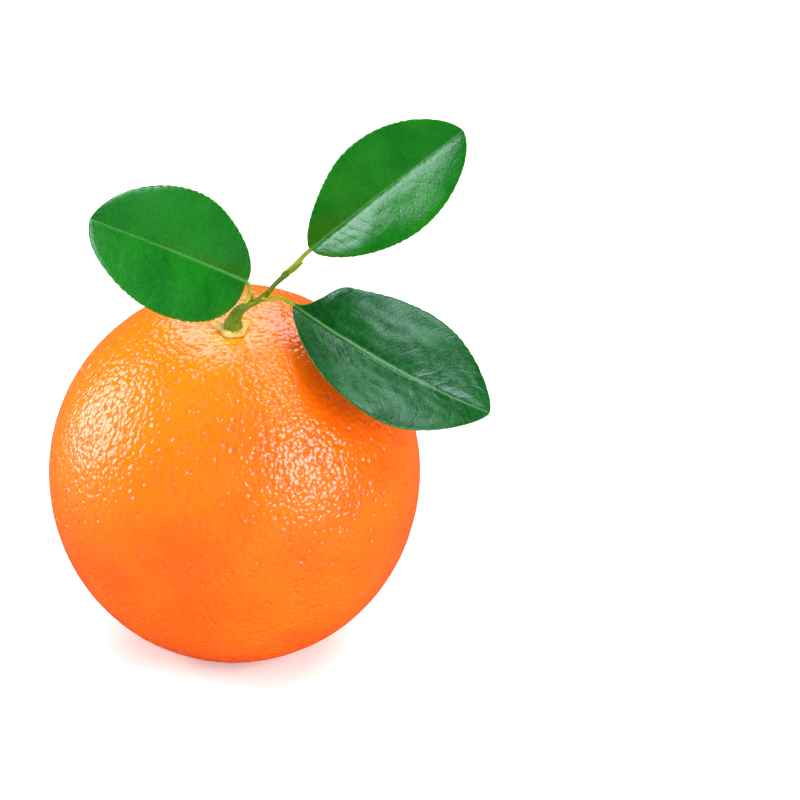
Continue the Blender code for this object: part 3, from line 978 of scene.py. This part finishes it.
def leaf_material(group):
    material, graph, shader = start_material("green_leaf")
    place = object_place(graph)
    along = stored(graph, "along")
    out = graph.math("ABSOLUTE", stored(graph, "out"))
    edge = stored(graph, "edge")
    under = stored(graph, "under")
    blotches, specks = mottle(graph, group, place, 11.0 * MM)
    # Tone: each leaf's own green mixed with painted shade, darkest on the up-facing right leaf.
    tone = stored(graph, "tone")
    dark = graph.mix(blotches, *LEAF_DARK_AND_SHADED)
    fresh = graph.mix(blotches, *LEAF_FRESH)
    blade = graph.mix(tone, dark, fresh)
    blade = graph.mix(graph.product(specks, 0.1), blade, LEAF_SPECK)
    turn = graph.math("FRACT", graph.total(stored(graph, "phase"), 1.5))
    off = graph.math("ABSOLUTE", graph.math("SUBTRACT", turn, 0.5))
    vein = graph.blend(off, 0.0, 0.09, 1.0, 0.0)
    flat_place = graph.join(graph.product(along, 48.0), stored(graph, "out"), 0.0)
    net = graph.cells(flat_place, 1.25, "DISTANCE_TO_EDGE")
    mesh_lines = graph.blend(net, 0.0, 0.12, 1.0, 0.0)
    veins = graph.math("MAXIMUM", vein, graph.product(mesh_lines, 0.35))
    blade = graph.mix(graph.product(veins, 0.08), blade, LEAF_VEIN)
    rib_width = graph.total(0.30, graph.product(along, -0.17))
    rib = graph.bell(out, rib_width)
    blade = graph.mix(graph.product(rib, 0.9), blade, LEAF_RIB)
    rim = graph.blend(edge, 0.03, 0.22, 1.0, 0.0)
    blade = graph.mix(graph.product(rim, 0.6), blade, LEAF_RIM)
    pale = graph.mix(blotches, *LEAF_UNDER)
    ridges = graph.math("MAXIMUM", rib, graph.product(veins, 0.5))
    pale = graph.mix(ridges, pale, LEAF_UNDER_VEIN)
    below = graph.blend(under, 0.5, 0.9)
    graph.feed(shader.inputs["Base Color"], graph.mix(below, blade, pale))
    gloss = graph.total(0.235, graph.product(specks, 0.06), graph.product(rib, 0.15))
    graph.feed(shader.inputs["Roughness"], graph.total(gloss, graph.product(below, 0.3)))
    grain = graph.noise(flat_place, 3.0, 2.0)
    relief = graph.total(
        graph.product(veins, -0.02 * MM), graph.product(net, 0.03 * MM), graph.product(grain, 0.02 * MM)
    )
    bump(graph, shader, relief)
    shader.inputs["Specular IOR Level"].default_value = 0.45
    shader.inputs["Specular Tint"].default_value = (0.68, 0.92, 1.0, 1.0)
    shader.inputs["Subsurface Weight"].default_value = 0.25
    shader.inputs["Subsurface Radius"].default_value = (0.1, 1.0, 0.05)
    shader.inputs["Subsurface Scale"].default_value = 0.6 * MM
    return material


def stem_material(name, group, colours, rough):
    """Green skin that changes colour along it, with dark streaks."""
    low, high, dark = colours
    material, graph, shader = start_material(name)
    place = object_place(graph)
    along = stored(graph, "along")
    around = stored(graph, "around")
    blotches, specks = mottle(graph, group, place, 1.6 * MM)
    skin = graph.mix(graph.blend(along, 0.1, 0.75), (*low, 1.0), (*high, 1.0))
    turn = graph.product(around, 2.0 * math.pi)
    streak_place = graph.join(
        graph.math("COSINE", turn), graph.math("SINE", turn), graph.product(along, 1.5)
    )
    streaks = graph.blend(graph.noise(streak_place, 5.0, 3.0, 0.65), 0.42, 0.62)
    skin = graph.mix(graph.product(streaks, 0.45), skin, (*dark, 1.0))
    skin = graph.mix(graph.product(specks, blotches, 0.35), skin, (*high, 1.0))
    graph.feed(shader.inputs["Base Color"], skin)
    graph.feed(shader.inputs["Roughness"], graph.total(rough, graph.product(streaks, 0.15)))
    bump(graph, shader, graph.total(graph.product(specks, 0.03 * MM), graph.product(streaks, -0.05 * MM)))
    shader.inputs["Specular IOR Level"].default_value = 0.2
    shader.inputs["Subsurface Weight"].default_value = 0.15
    shader.inputs["Subsurface Radius"].default_value = (0.6, 1.0, 0.2)
    shader.inputs["Subsurface Scale"].default_value = 0.5 * MM
    return material


def calyx_material(group):
    material, graph, shader = start_material("pale_calyx")
    place = object_place(graph)
    blotches, specks = mottle(graph, group, place, 1.8 * MM)
    from_stem = graph.vector("DISTANCE", place, tuple(STEM_SEAT))
    outer = graph.blend(from_stem, 2.2 * MM, 4.6 * MM)
    skin = graph.mix(blotches, *CALYX_BLOTCHES)
    skin = graph.mix(graph.product(specks, 0.4), skin, CALYX_SPECK)
    skin = graph.mix(graph.product(outer, 0.35), skin, CALYX_RIM)
    seam = graph.bell(graph.math("SUBTRACT", from_stem, 2.0 * MM), 0.35 * MM)
    skin = graph.mix(graph.product(seam, 0.7), skin, CALYX_SEAM)
    graph.feed(shader.inputs["Base Color"], skin)
    graph.feed(shader.inputs["Roughness"], graph.total(0.6, graph.product(specks, 0.15)))
    bump(graph, shader, graph.total(graph.product(specks, 0.04 * MM), graph.product(blotches, 0.03 * MM)))
    return material


# ---------------------------------------------------------------- stage


def aim(obj, target):
    obj.rotation_euler = (target - obj.location).to_track_quat("-Z", "Y").to_euler()


def make_camera():
    back = math.cos(VIEW_HEIGHT)
    rise = math.sin(VIEW_HEIGHT)
    right = Vector((1.0, 0.0, 0.0))
    up = Vector((0.0, rise, back))
    forward = Vector((0.0, back, -rise))
    data = bpy.data.cameras.new("view")
    data.lens = LENS
    data.sensor_width = SENSOR
    data.clip_start = 0.01
    data.clip_end = 100.0
    camera = bpy.data.objects.new("view", data)
    bpy.context.scene.collection.objects.link(camera)
    camera.location = FRUIT_CENTRE - right * FRUIT_RIGHT - up * FRUIT_UP - forward * VIEW_DISTANCE
    camera.rotation_euler = (0.5 * math.pi - VIEW_HEIGHT, 0.0, 0.0)
    bpy.context.scene.camera = camera


def make_softbox(name, direction, distance, size, power):
    data = bpy.data.lights.new(name, "AREA")
    data.shape = "RECTANGLE"
    data.size, data.size_y = size
    data.energy = power
    light = bpy.data.objects.new(name, data)
    bpy.context.scene.collection.objects.link(light)
    light.location = FRUIT_CENTRE + Vector(direction).normalized() * distance
    aim(light, FRUIT_CENTRE)


def make_lights():
    for softbox in SOFTBOXES:
        make_softbox(*softbox)


def make_world():
    world = bpy.data.worlds.new("studio")
    world.use_nodes = True
    graph = Graph(world.node_tree)
    background = world.node_tree.nodes["Background"]
    background.inputs["Color"].default_value = (1.0, 1.0, 1.0, 1.0)
    path = graph.add("ShaderNodeLightPath").outputs
    heading = graph.add("ShaderNodeTexCoord").outputs["Generated"]
    viewer = (0.0, -math.cos(VIEW_HEIGHT), math.sin(VIEW_HEIGHT))
    front = graph.math("MAXIMUM", graph.vector("DOT_PRODUCT", heading, viewer), 0.0)
    seen = graph.product(path["Is Camera Ray"], WORLD_SEEN)
    mirrored = graph.product(path["Is Glossy Ray"], WORLD_MIRRORED)
    around = graph.total(WORLD_AROUND, graph.product(front, WORLD_FRONT))
    spread = graph.product(path["Is Diffuse Ray"], around)
    graph.feed(background.inputs["Strength"], graph.total(seen, mirrored, spread))
    bpy.context.scene.world = world


def floor_material():
    material, graph, shader = start_material("pale_floor")
    mirrored = graph.add("ShaderNodeLightPath").outputs["Is Glossy Ray"]
    tone = graph.mix(mirrored, FLOOR_COLOUR, FLOOR_MIRRORED)
    graph.feed(shader.inputs["Base Color"], tone)
    shader.inputs["Roughness"].default_value = 0.6
    shader.inputs["Specular IOR Level"].default_value = 0.1
    return material


def make_floor():
    shape = bmesh.new()
    bmesh.ops.create_grid(shape, x_segments=8, y_segments=8, size=4.0)
    floor = close_up("floor", shape, floor_material())


def set_colours():
    view = bpy.context.scene.view_settings
    view.view_transform = "Standard"
    view.look = "None"
    view.exposure = 0.0


# ---------------------------------------------------------------- assembly


def fit_piece(piece, node):
    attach(piece, "root")
    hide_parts(node)


def build_orange():
    group = mottle_group()
    leaf = leaf_material(group)
    bark = stem_material("green_bark", group, BARK_COLOURS, 0.55)
    pale_bark = stem_material("yellow_green_stalk", group, LEAF_STALK_COLOURS, 0.45)
    stems = stem_tree()
    fit_piece(make_fruit(rind_material(group)), "fruit")
    fit_piece(make_calyx(calyx_material(group)), "calyx")
    stalk = make_stem("stalk", STALK_ROUTE, stems, bark, STALK_RIBS)
    fit_piece(stalk, "fruit_stalk")
    shoot = make_stem("shoot", TWIG_ROUTE, stems, bark, TWIG_RIBS)
    fit_piece(shoot, "twig")
    for side, route in PETIOLE_ROUTES.items():
        leaf_stalk = make_stem("leaf_stalk_" + side, route, stems, pale_bark, LEAF_STALK_RIBS)
        fit_piece(leaf_stalk, "petiole_" + side)
        fit_piece(make_leaf(side, leaf), "leaf_" + side)
    for name in BUDS:
        fit_piece(make_bud(name, bark), name)


make_camera()
set_colours()
make_world()
make_lights()
make_floor()
build_orange()
